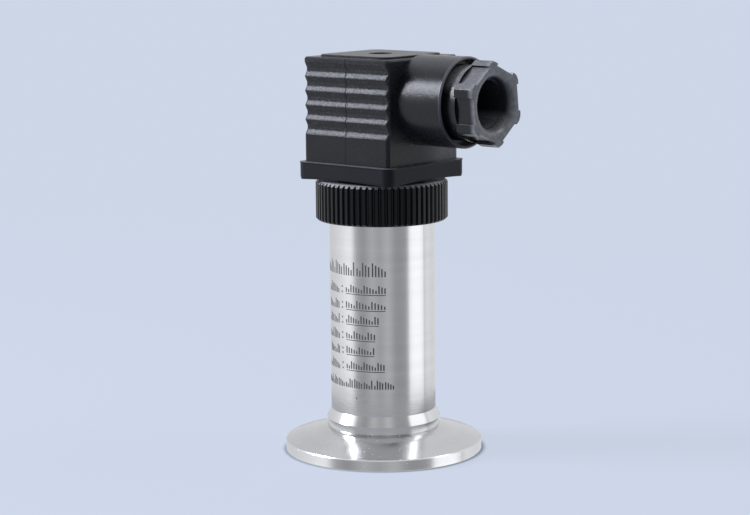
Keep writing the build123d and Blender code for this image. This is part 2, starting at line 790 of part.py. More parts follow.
# Each level is (height, inset of the three ribbed sides, inset of the gland's side)
housing_levels = [(housing_bottom_z, 0, 0)]
for index in reversed(range(groove_count)):
    groove_z = housing_edge_z - first_groove_drop - index * groove_pitch
    housing_levels.append((groove_z - groove_pitch / 2, 0, 0))
    housing_levels.append((groove_z - groove_floor / 2, groove_depth, 0))
    housing_levels.append((groove_z + groove_floor / 2, groove_depth, 0))
housing_levels.append((groove_z + groove_floor / 2 + groove_slope, 0, 0))
housing_levels.append((housing_edge_z - housing_edge_chamfer, 0, 0))
housing_levels.append((housing_edge_z, housing_edge_chamfer, housing_edge_chamfer))
with BuildPart() as plug_housing:
    housing_sections = []
    for z, ribbed, plain in housing_levels:
        housing_length = housing_side - ribbed - plain
        housing_width = housing_side - 2 * ribbed
        housing_sections.append(
            (z, (ribbed - plain) / 2, housing_length, housing_width, housing_corner_r - ribbed)
        )
    rounded_levels(housing_sections)
    with BuildSketch(Plane.XY.offset(housing_edge_z)):
        RectangleRounded(plateau_side, plateau_side, plateau_corner_r)
    extrude(amount=plateau_height)
    chamfer(faces().sort_by(Axis.Z)[-1].edges(), plateau_chamfer)
    with BuildSketch(Plane.XY.offset(housing_bottom_z)):
        RectangleRounded(cavity_side, cavity_side, cavity_corner_r)
    extrude(amount=ceiling_z - housing_bottom_z, mode=Mode.SUBTRACT)
    with BuildSketch(Plane.XY.offset(carrier_top_z + sliding_gap)):
        Circle(screw_recess_r + tower_wall)
    extrude(amount=ceiling_z - carrier_top_z)
    spin(
        [
            (boss_root_x, gland_z),
            (boss_root_x, gland_z + boss_r),
            (boss_end_x - boss_chamfer, gland_z + boss_r),
            (boss_end_x, gland_z + boss_r - boss_chamfer),
            (boss_end_x, gland_z),
        ],
        axis=gland_axis,
    )
    spin(
        [
            (cavity_side / 2 - housing_wall / 2, gland_z),
            (cavity_side / 2 - housing_wall / 2, gland_z + cable_way_r),
            (seal_seat_x, gland_z + cable_way_r),
            (seal_seat_x, gland_z + boss_bore_r),
            (boss_end_x - boss_counterbore_depth, gland_z + boss_bore_r),
            (boss_end_x - boss_counterbore_depth, gland_z + boss_counterbore_r),
            (boss_end_x, gland_z + boss_counterbore_r),
            (boss_end_x, gland_z),
        ],
        axis=gland_axis,
        mode=Mode.SUBTRACT,
    )
    with BuildSketch(Plane.XY.offset(housing_top_z)):
        Circle(screw_recess_r)
    extrude(amount=-screw_recess_depth, mode=Mode.SUBTRACT)
    with BuildSketch(Plane.XY.offset(recess_floor_z)):
        Circle(screw_hole_r)
    extrude(amount=carrier_top_z - recess_floor_z, mode=Mode.SUBTRACT)
plug_housing.part.label = "plug_housing"
export_step(plug_housing.part, "parts/plug_housing.step")

# Terminal carrier: block in the housing with four contact bays and the screw's bore
carrier_bottom_z = housing_bottom_z + carrier_lift
carrier_side = cavity_side - 2 * sliding_gap
contact_bottom_z = carrier_bottom_z + contact_floor
with BuildPart() as terminal_carrier:
    with BuildSketch(Plane.XY.offset(carrier_bottom_z)):
        RectangleRounded(carrier_side, carrier_side, cavity_corner_r)
        Circle(screw_hole_r, mode=Mode.SUBTRACT)
    extrude(amount=carrier_height)
    with BuildSketch(Plane.XY.offset(contact_bottom_z)):
        with PolarLocations(contact_circle_r, 4):
            Rectangle(contact_depth + 2 * moulded_gap, contact_width + 2 * moulded_gap)
    extrude(amount=carrier_height, mode=Mode.SUBTRACT)
    with BuildSketch(Plane.XY.offset(carrier_bottom_z)):
        with PolarLocations(contact_circle_r, 4):
            Rectangle(blade_thickness + 2 * web_slot_gap, blade_width + 2 * web_slot_gap)
    extrude(amount=contact_floor, mode=Mode.SUBTRACT)
terminal_carrier.part.label = "terminal_carrier"
export_step(terminal_carrier.part, "parts/terminal_carrier.step")

# Socket contacts: forked contacts with a clamp block and a conductor hole on top
contact_top_z = carrier_top_z + contact_stand
contact_slot_end_z = blade_top_z + earth_extra + lifting_gap
with BuildPart() as socket_contacts:
    with BuildSketch(Plane.XY.offset(contact_bottom_z)):
        with PolarLocations(contact_circle_r, 4):
            Rectangle(contact_depth, contact_width)
    extrude(amount=contact_top_z - contact_bottom_z)
    with BuildSketch(Plane.XY.offset(contact_bottom_z)):
        with PolarLocations(contact_circle_r, 4):
            Rectangle(blade_thickness + 2 * running_gap, blade_width + 2 * running_gap)
    extrude(amount=contact_slot_end_z - contact_bottom_z, mode=Mode.SUBTRACT)
    with BuildSketch(Plane.XY.offset(contact_top_z)):
        with PolarLocations(contact_circle_r, 4):
            Circle(clamp_screw_r + moulded_gap)
    extrude(amount=-clamp_screw_depth, mode=Mode.SUBTRACT)
    for plane in (Plane.XZ, Plane.YZ):
        with BuildSketch(plane):
            with Locations((0, contact_top_z - conductor_drop)):
                Circle(conductor_r)
        extrude(amount=contact_circle_r + contact_depth, both=True, mode=Mode.SUBTRACT)
socket_contacts.part.label = "socket_contacts"
export_step(socket_contacts.part, "parts/socket_contacts.step")

# Terminal screws: slotted clamp screws, one in each contact
head_top_z = contact_top_z + clamp_head_height
with BuildPart() as terminal_screws:
    with BuildSketch(Plane.XY.offset(contact_top_z - clamp_screw_depth)):
        with PolarLocations(contact_circle_r, 4):
            Circle(clamp_screw_r)
    extrude(amount=clamp_screw_depth)
    with BuildSketch(Plane.XY.offset(contact_top_z)):
        with PolarLocations(contact_circle_r, 4):
            Circle(clamp_head_r)
    extrude(amount=clamp_head_height)
    with BuildSketch(Plane.XY.offset(head_top_z)):
        with PolarLocations(contact_circle_r, 4):
            Rectangle(driver_slot_width, 2 * clamp_head_r)
    extrude(amount=-driver_slot_depth, mode=Mode.SUBTRACT)
terminal_screws.part.label = "terminal_screws"
export_step(terminal_screws.part, "parts/terminal_screws.step")

# Screw washer: seals the centre screw in its recess
washer_top_z = recess_floor_z + washer_thickness
with BuildPart() as screw_washer:
    spin(ring_points(screw_r + sliding_gap, washer_r, recess_floor_z, washer_top_z))
screw_washer.part.label = "screw_washer"
export_step(screw_washer.part, "parts/screw_washer.step")

# Centre screw: long slotted screw through the plug into the base's insert
screw_tip_z = insert_top_z - screw_engagement
screw_head_top_z = washer_top_z + screw_head_height
with BuildPart() as centre_screw:
    spin(
        [
            (0, screw_tip_z),
            (screw_r - screw_tip_chamfer, screw_tip_z),
            (screw_r, screw_tip_z + screw_tip_chamfer),
            (screw_r, washer_top_z),
            (screw_head_r, washer_top_z),
            (screw_head_r, screw_head_top_z - screw_tip_chamfer),
            (screw_head_r - screw_tip_chamfer, screw_head_top_z),
            (0, screw_head_top_z),
        ]
    )
    with BuildSketch(Plane.XY.offset(screw_head_top_z)):
        Rectangle(2 * screw_head_r, driver_slot_width)
    extrude(amount=-driver_slot_depth, mode=Mode.SUBTRACT)
centre_screw.part.label = "centre_screw"
export_step(centre_screw.part, "parts/centre_screw.step")

# Gland seal: rubber bush in the boss, with grooves in its bore
gland_seal_end_x = seal_seat_x + gland_seal_length
groove_step = gland_seal_length / (2 * gland_seal_grooves + 1)
with BuildPart() as gland_seal:
    spin(
        [
            (seal_seat_x, gland_z + gland_seal_bore_r),
            (seal_seat_x, gland_z + boss_bore_r - moulded_gap),
            (gland_seal_end_x, gland_z + boss_bore_r - moulded_gap),
            (gland_seal_end_x, gland_z + gland_seal_bore_r),
        ],
        axis=gland_axis,
    )
    for groove in range(gland_seal_grooves):
        groove_x = seal_seat_x + (2 * groove + 1) * groove_step
        spin(
            [
                (groove_x, gland_z),
                (groove_x, gland_z + gland_seal_bore_r + gland_seal_groove),
                (groove_x + groove_step, gland_z + gland_seal_bore_r + gland_seal_groove),
                (groove_x + groove_step, gland_z),
            ],
            axis=gland_axis,
            mode=Mode.SUBTRACT,
        )
gland_seal.part.label = "gland_seal"
export_step(gland_seal.part, "parts/gland_seal.step")

# Gland washer: thrust washer between the seal and the nut
gland_washer_x = gland_seal_end_x + running_gap
nut_back_x = gland_washer_x + gland_washer_thickness
with BuildPart() as gland_washer:
    spin(
        [
            (gland_washer_x, gland_z + gland_washer_bore_r),
            (gland_washer_x, gland_z + gland_thread_r),
            (nut_back_x, gland_z + gland_thread_r),
            (nut_back_x, gland_z + gland_washer_bore_r),
        ],
        axis=gland_axis,
    )
gland_washer.part.label = "gland_washer"
export_step(gland_washer.part, "parts/gland_washer.step")

# Gland nut: hexagon with a raised pad at each corner, threaded shank and flared mouth
hex_back_x = nut_back_x + shank_reach
nut_front_x = hex_back_x + hex_length
flat_r = hex_corner_r * math.cos(math.pi / 6)
bore_end_x = nut_back_x + nut_bore_length
throat_r = nut_bore_r + mouth_step
flare_turn = mouth_flare * (1 - math.sqrt(0.5))
with BuildPart() as gland_nut:
    with BuildSketch(Plane.YZ.offset(hex_back_x)) as hex_outline:
        with Locations((0, gland_z)):
            RegularPolygon(hex_corner_r, 6, rotation=30 + hex_turn_deg)
        fillet(hex_outline.vertices(), hex_tip_fillet)
        with Locations((0, gland_z)):
            with PolarLocations(flat_r, 6, start_angle=hex_turn_deg):
                Rectangle(2 * pad_height, hex_corner_r - 2 * pad_length, mode=Mode.SUBTRACT)
    extrude(amount=hex_length)
    spin(
        [
            (hex_back_x, gland_z),
            (hex_back_x, gland_z + hex_corner_r - hex_back_chamfer),
            (hex_back_x + hex_back_chamfer, gland_z + hex_corner_r),
            (nut_front_x - hex_edge_chamfer, gland_z + hex_corner_r),
            (nut_front_x, gland_z + hex_corner_r - 2 * hex_edge_chamfer),
            (nut_front_x, gland_z),
        ],
        axis=gland_axis,
        mode=Mode.INTERSECT,
    )
    spin(
        [
            (nut_back_x, gland_z),
            (nut_back_x, gland_z + gland_thread_r),
            (hex_back_x, gland_z + gland_thread_r),
            (hex_back_x, gland_z),
        ],
        axis=gland_axis,
    )
    spin(
        [
            (hex_back_x - nut_collar_length, gland_z),
            (hex_back_x - nut_collar_length, gland_z + flat_r + nut_collar_step - hex_back_chamfer),
            (hex_back_x - nut_collar_length + hex_back_chamfer, gland_z + flat_r + nut_collar_step),
            (hex_back_x, gland_z + flat_r + nut_collar_step),
            (hex_back_x, gland_z),
        ],
        axis=gland_axis,
    )
    with BuildSketch(Plane.XZ):
        with BuildLine():
            Polyline(
                (nut_front_x, gland_z + throat_r + mouth_flare),
                (nut_front_x, gland_z),
                (nut_back_x, gland_z),
                (nut_back_x, gland_z + nut_bore_r),
                (bore_end_x, gland_z + nut_bore_r),
                (bore_end_x, gland_z + throat_r),
                (nut_front_x - mouth_flare, gland_z + throat_r),
            )
            ThreePointArc(
                (nut_front_x - mouth_flare, gland_z + throat_r),
                (nut_front_x - flare_turn, gland_z + throat_r + flare_turn),
                (nut_front_x, gland_z + throat_r + mouth_flare),
            )
        make_face()
    revolve(axis=gland_axis, mode=Mode.SUBTRACT)
gland_nut.part.label = "gland_nut"
export_step(gland_nut.part, "parts/gland_nut.step")
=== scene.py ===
import logging
import math
from dataclasses import dataclass, field
from enum import Enum
from typing import Any, Dict, List, Mapping, Optional, Sequence, Tuple, Union

import bmesh
import bpy
from mathutils import Matrix, Vector


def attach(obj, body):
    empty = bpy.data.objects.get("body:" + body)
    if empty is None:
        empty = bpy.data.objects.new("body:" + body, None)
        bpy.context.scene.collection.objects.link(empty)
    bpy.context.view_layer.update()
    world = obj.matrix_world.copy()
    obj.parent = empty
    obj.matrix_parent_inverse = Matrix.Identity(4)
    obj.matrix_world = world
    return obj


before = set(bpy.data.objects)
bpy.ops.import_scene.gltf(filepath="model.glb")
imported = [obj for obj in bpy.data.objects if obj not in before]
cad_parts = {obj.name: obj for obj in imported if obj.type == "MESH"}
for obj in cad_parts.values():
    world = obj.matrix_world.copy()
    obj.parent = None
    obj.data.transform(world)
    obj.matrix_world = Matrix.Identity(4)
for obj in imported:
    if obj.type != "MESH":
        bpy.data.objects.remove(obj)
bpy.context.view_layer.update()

log = logging.getLogger("transmitter")

MM = 0.001
Point = Tuple[float, float, float]
Colour = Tuple[float, float, float]
Value = Union["Signal", float, Point]


class Signal:
    """One output socket of a shader tree, with arithmetic on the values it carries."""

    def __init__(self, tree: "Tree", socket: bpy.types.NodeSocket) -> None:
        """Keeps the tree and the socket."""
        self.tree = tree
        self.socket = socket

    def math(self, operation: str, *values: Value) -> "Signal":
        """Adds one Math node.

        Args:
            operation: the node's operation.
            values: its inputs in order.

        Returns:
            The node's result.
        """
        return self.tree.node("ShaderNodeMath", {"operation": operation}, dict(enumerate(values)))

    def __add__(self, other: Value) -> "Signal":
        """This plus other."""
        return self.math("ADD", self, other)

    def __radd__(self, other: Value) -> "Signal":
        """Other plus this."""
        return self.math("ADD", other, self)

    def __sub__(self, other: Value) -> "Signal":
        """This minus other."""
        return self.math("SUBTRACT", self, other)

    def __rsub__(self, other: Value) -> "Signal":
        """Other minus this."""
        return self.math("SUBTRACT", other, self)

    def __mul__(self, other: Value) -> "Signal":
        """This times other."""
        return self.math("MULTIPLY", self, other)

    def __rmul__(self, other: Value) -> "Signal":
        """Other times this."""
        return self.math("MULTIPLY", other, self)

    def __truediv__(self, other: Value) -> "Signal":
        """This over other."""
        return self.math("DIVIDE", self, other)

    def __rtruediv__(self, other: Value) -> "Signal":
        """Other over this."""
        return self.math("DIVIDE", other, self)

    def __pow__(self, other: Value) -> "Signal":
        """This to the power of other."""
        return self.math("POWER", self, other)

    def __rpow__(self, other: Value) -> "Signal":
        """Other to the power of this."""
        return self.math("POWER", other, self)

    def __abs__(self) -> "Signal":
        """This without its sign."""
        return self.math("ABSOLUTE", self)

    def over(self, limit: float) -> "Signal":
        """1 where this is above limit, otherwise 0."""
        return self.math("GREATER_THAN", self, limit)

    def under(self, limit: float) -> "Signal":
        """1 where this is below limit, otherwise 0."""
        return self.math("LESS_THAN", self, limit)

    def wave(self) -> "Signal":
        """The sine of this."""
        return self.math("SINE", self)

    def reach(self, other: "Signal") -> "Signal":
        """How far from their common axis a point with this and other as coordinates lies."""
        return (self * self + other * other) ** 0.5

    def rise(self, low: float, high: float) -> "Signal":
        """Rises smoothly from 0 at low to 1 at high.

        Args:
            low: the value that gives 0.
            high: the value that gives 1, which may be the smaller of the two.

        Returns:
            The smoothed share.
        """
        settings = {"interpolation_type": "SMOOTHSTEP"}
        return self.tree.node("ShaderNodeMapRange", settings, {0: self, 1: low, 2: high, 3: 0.0, 4: 1.0})


class Tree:
    """A material's or world's node tree, filled by method calls."""

    def __init__(self, nodes: bpy.types.NodeTree) -> None:
        """Empties the tree.

        Args:
            nodes: the node tree to fill.
        """
        self.nodes = nodes
        self.nodes.nodes.clear()

    def node(
        self, kind: str, settings: Mapping[str, Any], inputs: Mapping[Any, Value], output: Any = 0
    ) -> Signal:
        """Adds a node of any type.

        Args:
            kind: the node's type.
            settings: its attributes, set first; stops are a ramp's (place, colour) pairs.
            inputs: values or signals by input name or number.
            output: the name or number of the output to return.

        Returns:
            The chosen output.
        """
        made = self.nodes.nodes.new(kind)
        for name, value in settings.items():
            if name == "stops":
                ramp = made.color_ramp.elements
                while len(ramp) < len(value):
                    ramp.new(1.0)
                for element, (place, colour) in zip(ramp, value):
                    element.position = place
                    element.color = (*colour, 1.0)
            else:
                setattr(made, name, value)
        for name, value in inputs.items():
            if isinstance(value, Signal):
                self.nodes.links.new(value.socket, made.inputs[name])
            elif made.inputs[name].type == "RGBA" and len(value) == 3:
                made.inputs[name].default_value = (*value, 1.0)
            else:
                made.inputs[name].default_value = value
        return Signal(self, made.outputs[output])

    def place(self) -> Signal:
        """The shaded point in the piece's own frame, in metres."""
        return self.node("ShaderNodeTexCoord", {}, {}, "Object")

    def axes(self, vector: Signal) -> Tuple[Signal, Signal, Signal]:
        """Splits a vector.

        Args:
            vector: the vector to split.

        Returns:
            Its x, y and z.
        """
        split = self.node("ShaderNodeSeparateXYZ", {}, {0: vector})
        outputs = split.socket.node.outputs
        return Signal(self, outputs[0]), Signal(self, outputs[1]), Signal(self, outputs[2])

    def vector(self, operation: str, *values: Value, scale: Optional[Value] = None) -> Signal:
        """Adds one Vector Math node.

        Args:
            operation: the node's operation.
            values: its vectors in order.
            scale: the factor of a SCALE node.

        Returns:
            The node's vector.
        """
        inputs: Dict[Any, Value] = dict(enumerate(values))
        if scale is not None:
            inputs["Scale"] = scale
        return self.node("ShaderNodeVectorMath", {"operation": operation}, inputs)

    def blend(self, share: Value, first: Value, second: Value) -> Signal:
        """Mixes two colours.

        Args:
            share: how much of the second colour shows.
            first: the colour at 0.
            second: the colour at 1.

        Returns:
            The mixed colour.
        """
        return self.node("ShaderNodeMix", {"data_type": "RGBA"}, {0: share, 6: first, 7: second}, 2)

    def layers(self, share: Signal, first: Signal, second: Signal) -> Signal:
        """Mixes two shaders.

        Args:
            share: how much of the second shader shows.
            first: the shader at 0.
            second: the shader at 1.

        Returns:
            The mixed shader.
        """
        return self.node("ShaderNodeMixShader", {}, {0: share, 1: first, 2: second})

    def facing(self) -> Tuple[Signal, Signal, Signal]:
        """The x, y and z of the piece's own normal, without grain."""
        return self.axes(self.node("ShaderNodeTexCoord", {}, {}, "Normal"))

    def ray(self, kind: str) -> Signal:
        """1 for rays of one kind, such as Is Camera Ray, otherwise 0."""
        return self.node("ShaderNodeLightPath", {}, {}, kind)

    def noise(self, where: Signal, size: float, detail: float = 2.0, output: str = "Fac") -> Signal:
        """Smooth noise in space.

        Args:
            where: the point it is read at.
            size: the size of one feature in metres.
            detail: how many finer layers it has.
            output: Fac for a number or Color for three.

        Returns:
            The noise.
        """
        inputs = {"Vector": where, "Scale": 1 / size, "Detail": detail}
        return self.node("ShaderNodeTexNoise", {}, inputs, output)

    def lines(self, along: Signal, pitch: float, detail: float = 3.0) -> Signal:
        """Noise that changes along one length only.

        Args:
            along: the length in metres.
            pitch: the size of one feature in metres.
            detail: how many finer layers it has.

        Returns:
            The noise.
        """
        inputs = {"W": along, "Scale": 1 / pitch, "Detail": detail}
        return self.node("ShaderNodeTexNoise", {"noise_dimensions": "1D"}, inputs)

    def tilted(self, direction: Signal, amount: Value) -> Signal:
        """The surface's normal, tipped towards a direction.

        Args:
            direction: the vector it is tipped towards.
            amount: how far, as a slope.

        Returns:
            The new normal.
        """
        normal = self.node("ShaderNodeNewGeometry", {}, {}, "Normal")
        tip = self.vector("SCALE", direction, scale=amount)
        return self.vector("NORMALIZE", self.vector("ADD", normal, tip))

    def surface(self, inputs: Mapping[str, Value]) -> None:
        """Ends the tree in a Principled shader.

        Args:
            inputs: the shader's inputs by name.
        """
        shader = self.node("ShaderNodeBsdfPrincipled", {}, inputs)
        self.node_output(shader)

    def node_output(self, shader: Signal) -> None:
        """Links a shader to the material's output."""
        made = self.nodes.nodes.new("ShaderNodeOutputMaterial")
        self.nodes.links.new(shader.socket, made.inputs["Surface"])


@dataclass(frozen=True)
class Finish:
    """What every finish has: a name, a colour, a roughness and the record's slot."""

    name: str
    slot: str
    colour: Colour
    roughness: float

    def shade(self, tree: Tree) -> None:
        """Fills the material's tree; each kind of finish has its own."""
        raise NotImplementedError

    def material(self) -> bpy.types.Material:
        """Makes the material once and gives it back at each later call.

        Returns:
            The material.
        """
        title = f"{self.name}_finish"
        made = bpy.data.materials.get(title)
        if made is None:
            made = bpy.data.materials.new(title)
            made.use_nodes = True
            self.shade(Tree(made.node_tree))
        return made


@dataclass(frozen=True)
class TurnedSteel(Finish):
    """Lathe-turned stainless steel, with fine tool lines round the Z axis.

    The lines follow z and face_share of the radius, so that flat faces have them as well.
    Dust specks lie on the flange, below dusty_below. Above it the steel is polished up to
    polished_below. A thread is its lower end, its upper end and its pitch.
    """

    line_pitch: float = 0.16 * MM
    line_slope: float = 0.16
    band_pitch: float = 2.3 * MM
    band_slope: float = 0.03
    band_share: float = 0.05
    face_share: float = 0.7
    cloud_size: float = 7 * MM
    line_dulling: float = 0.08
    cloud_dulling: float = 0.06
    cone_from: float = 1.4 * MM
    cone_to: float = 0.8 * MM
    polish_fade: float = 0.4 * MM
    polish_gain: float = 0.08
    flange_polish: float = 0.3
    speck_size: float = 0.55 * MM
    speck_limits: Tuple[float, float] = (0.735, 0.775)
    speck_colour: Colour = (0.88, 0.88, 0.90)
    speck_share: float = 0.8
    speck_dulling: float = 0.3
    dusty_below: float = 0.0
    polished_below: float = -1.0
    thread: Optional[Tuple[float, float, float]] = None
    thread_fade: float = 0.2 * MM
    thread_slope: float = 0.75

    def shade(self, tree: Tree) -> None:
        """Tips the normal up and down the tool lines and lets colour and gloss drift from band to band.

        Args:
            tree: the material's tree.
        """
        place = tree.place()
        x, y, z = tree.axes(place)
        radius = x.reach(y)
        along = z + radius * self.face_share
        fine = tree.lines(along, self.line_pitch)
        wide = tree.lines(along, self.band_pitch, 1.0)
        cloud = tree.noise(place, self.cloud_size)
        cone = z.rise(self.dusty_below - self.cone_from, self.dusty_below - self.cone_to)
        polish = z.rise(self.polished_below, self.polished_below - self.polish_fade)
        polish = polish * (cone * (1 - self.flange_polish) + self.flange_polish)
        slope = (fine - 0.5) * self.line_slope + (wide - 0.5) * self.band_slope
        slope = slope * (1 - polish * 0.5)
        if self.thread:
            low, high, pitch = self.thread
            on_thread = z.rise(low - self.thread_fade, low + self.thread_fade)
            on_thread = on_thread * z.rise(high + self.thread_fade, high - self.thread_fade)
            slope = slope + (z * (2 * math.pi / pitch)).wave() * on_thread * self.thread_slope
        normal = tree.node("ShaderNodeNewGeometry", {}, {}, "Normal")
        position = tree.node("ShaderNodeNewGeometry", {}, {}, "Position")
        hoop = tree.vector("NORMALIZE", tree.vector("CROSS_PRODUCT", (0.0, 0.0, 1.0), position))
        meridian = tree.vector("CROSS_PRODUCT", hoop, normal)
        darker = tuple(c * (1 - 2 * self.band_share) for c in self.colour)
        lighter = tuple(min(1.0, c * (1 + self.band_share)) for c in self.colour)
        colour = tree.blend(wide * 0.6 + cloud * 0.4, darker, lighter)
        dulling = fine * self.line_dulling + cloud * self.cloud_dulling
        middle = (self.line_dulling + self.cloud_dulling) / 2
        roughness = dulling + (self.roughness - middle) - polish * self.polish_gain
        if self.dusty_below:
            dust_and_sheen = tree.noise(place, self.speck_size, 1.0).rise(*self.speck_limits)
            dust_and_sheen = dust_and_sheen * z.under(self.dusty_below)
            colour = tree.blend(dust_and_sheen * self.speck_share, colour, self.speck_colour)
            roughness = roughness + dust_and_sheen * self.speck_dulling
        tree.surface(
            {
                "Base Color": colour,
                "Metallic": 1.0,
                "Roughness": roughness,
                "Normal": tree.tilted(meridian, slope),
            }
        )


@dataclass(frozen=True)
class PlainMetal(Finish):
    """Plated or drawn metal with a soft mottle."""

    mottle: float = 0.10
    mottle_size: float = 1.4 * MM
    mottle_dulling: float = 0.12
    grain_size: float = 0.25 * MM
    grain_slope: float = 0.08

    def shade(self, tree: Tree) -> None:
        """Mottles the colour and the gloss of bare metal.

        Args:
            tree: the material's tree.
        """
        place = tree.place()
        cloud = tree.noise(place, self.mottle_size, 4.0)
        grain = tree.noise(place, self.grain_size, 2.0, "Color")
        away = tree.vector("SUBTRACT", grain, (0.5, 0.5, 0.5))
        darker = tuple(c * (1 - self.mottle) for c in self.colour)
        tree.surface(
            {
                "Base Color": tree.blend(cloud, darker, self.colour),
                "Metallic": 1.0,
                "Roughness": (cloud - 0.5) * self.mottle_dulling + self.roughness,
                "Normal": tree.tilted(away, self.grain_slope),
            }
        )


@dataclass(frozen=True)
class Moulding(Finish):
    """Moulded plastic or rubber with a fine spark-eroded grain, and dust_and_sheen on faces that face up.

    There dust_and_sheen is a light dusting and a painted highlight; it starts on faces whose normal points up
    by top_dust_and_sheen_from.
    """

    cloud_size: float = 5 * MM
    cloud_dulling: float = 0.10
    speck_dulling: float = 0.06
    grain_size: float = 0.28 * MM
    grain_slope: float = 0.22
    pale: Colour = (0.075, 0.078, 0.09)
    pale_share: float = 0.08
    gloss: float = 0.35
    ior: float = 1.45
    top_dust_and_sheen: float = 0.3
    top_dust_and_sheen_from: float = 0.55
    top_dust_and_sheen_span: float = 0.4
    dust_and_sheen: Colour = (0.15, 0.155, 0.17)

    def grain(self, tree: Tree, place: Signal) -> Value:
        """How strong the grain is; the same all over unless a finish says otherwise."""
        return self.grain_slope

    def bend(self, tree: Tree, place: Signal, away: Signal) -> Signal:
        """Lets a finish round its edges a little; plain grain unless a finish says otherwise."""
        return away

    def marks(self, tree: Tree, place: Signal, colour: Signal, roughness: Signal) -> Tuple[Signal, Signal]:
        """Lets a finish add its own marks to the colour and the roughness."""
        return colour, roughness

    def shade(self, tree: Tree) -> None:
        """Grainy, slightly cloudy plastic.

        Args:
            tree: the material's tree.
        """
        place = tree.place()
        cloud = tree.noise(place, self.cloud_size, 3.0)
        speck = tree.noise(place, self.grain_size, 1.0)
        grain = tree.noise(place, self.grain_size, 2.0, "Color")
        away = tree.vector("SUBTRACT", grain, (0.5, 0.5, 0.5))
        colour = tree.blend((speck.rise(0.45, 0.8) + cloud * 0.4) * self.pale_share, self.colour, self.pale)
        dulling = (cloud - 0.5) * self.cloud_dulling + (speck - 0.5) * self.speck_dulling
        roughness = dulling + self.roughness
        colour, roughness = self.marks(tree, place, colour, roughness)
        # Faces that face up turn towards dust_and_sheen: a light dusting and a painted highlight.
        _, _, upward = tree.facing()
        flat = upward.rise(self.top_dust_and_sheen_from, self.top_dust_and_sheen_from + self.top_dust_and_sheen_span)
        top_dust_and_sheen = flat * (speck.rise(0.3, 0.7) * 0.6 + 0.4) * self.top_dust_and_sheen
        colour = tree.blend(top_dust_and_sheen, colour, self.dust_and_sheen)
        tree.surface(
            {
                "Base Color": colour,
                "Roughness": roughness,
                "Specular IOR Level": self.gloss,
                "IOR": self.ior,
                "Normal": tree.tilted(self.bend(tree, place, away), self.grain(tree, place)),
            }
        )


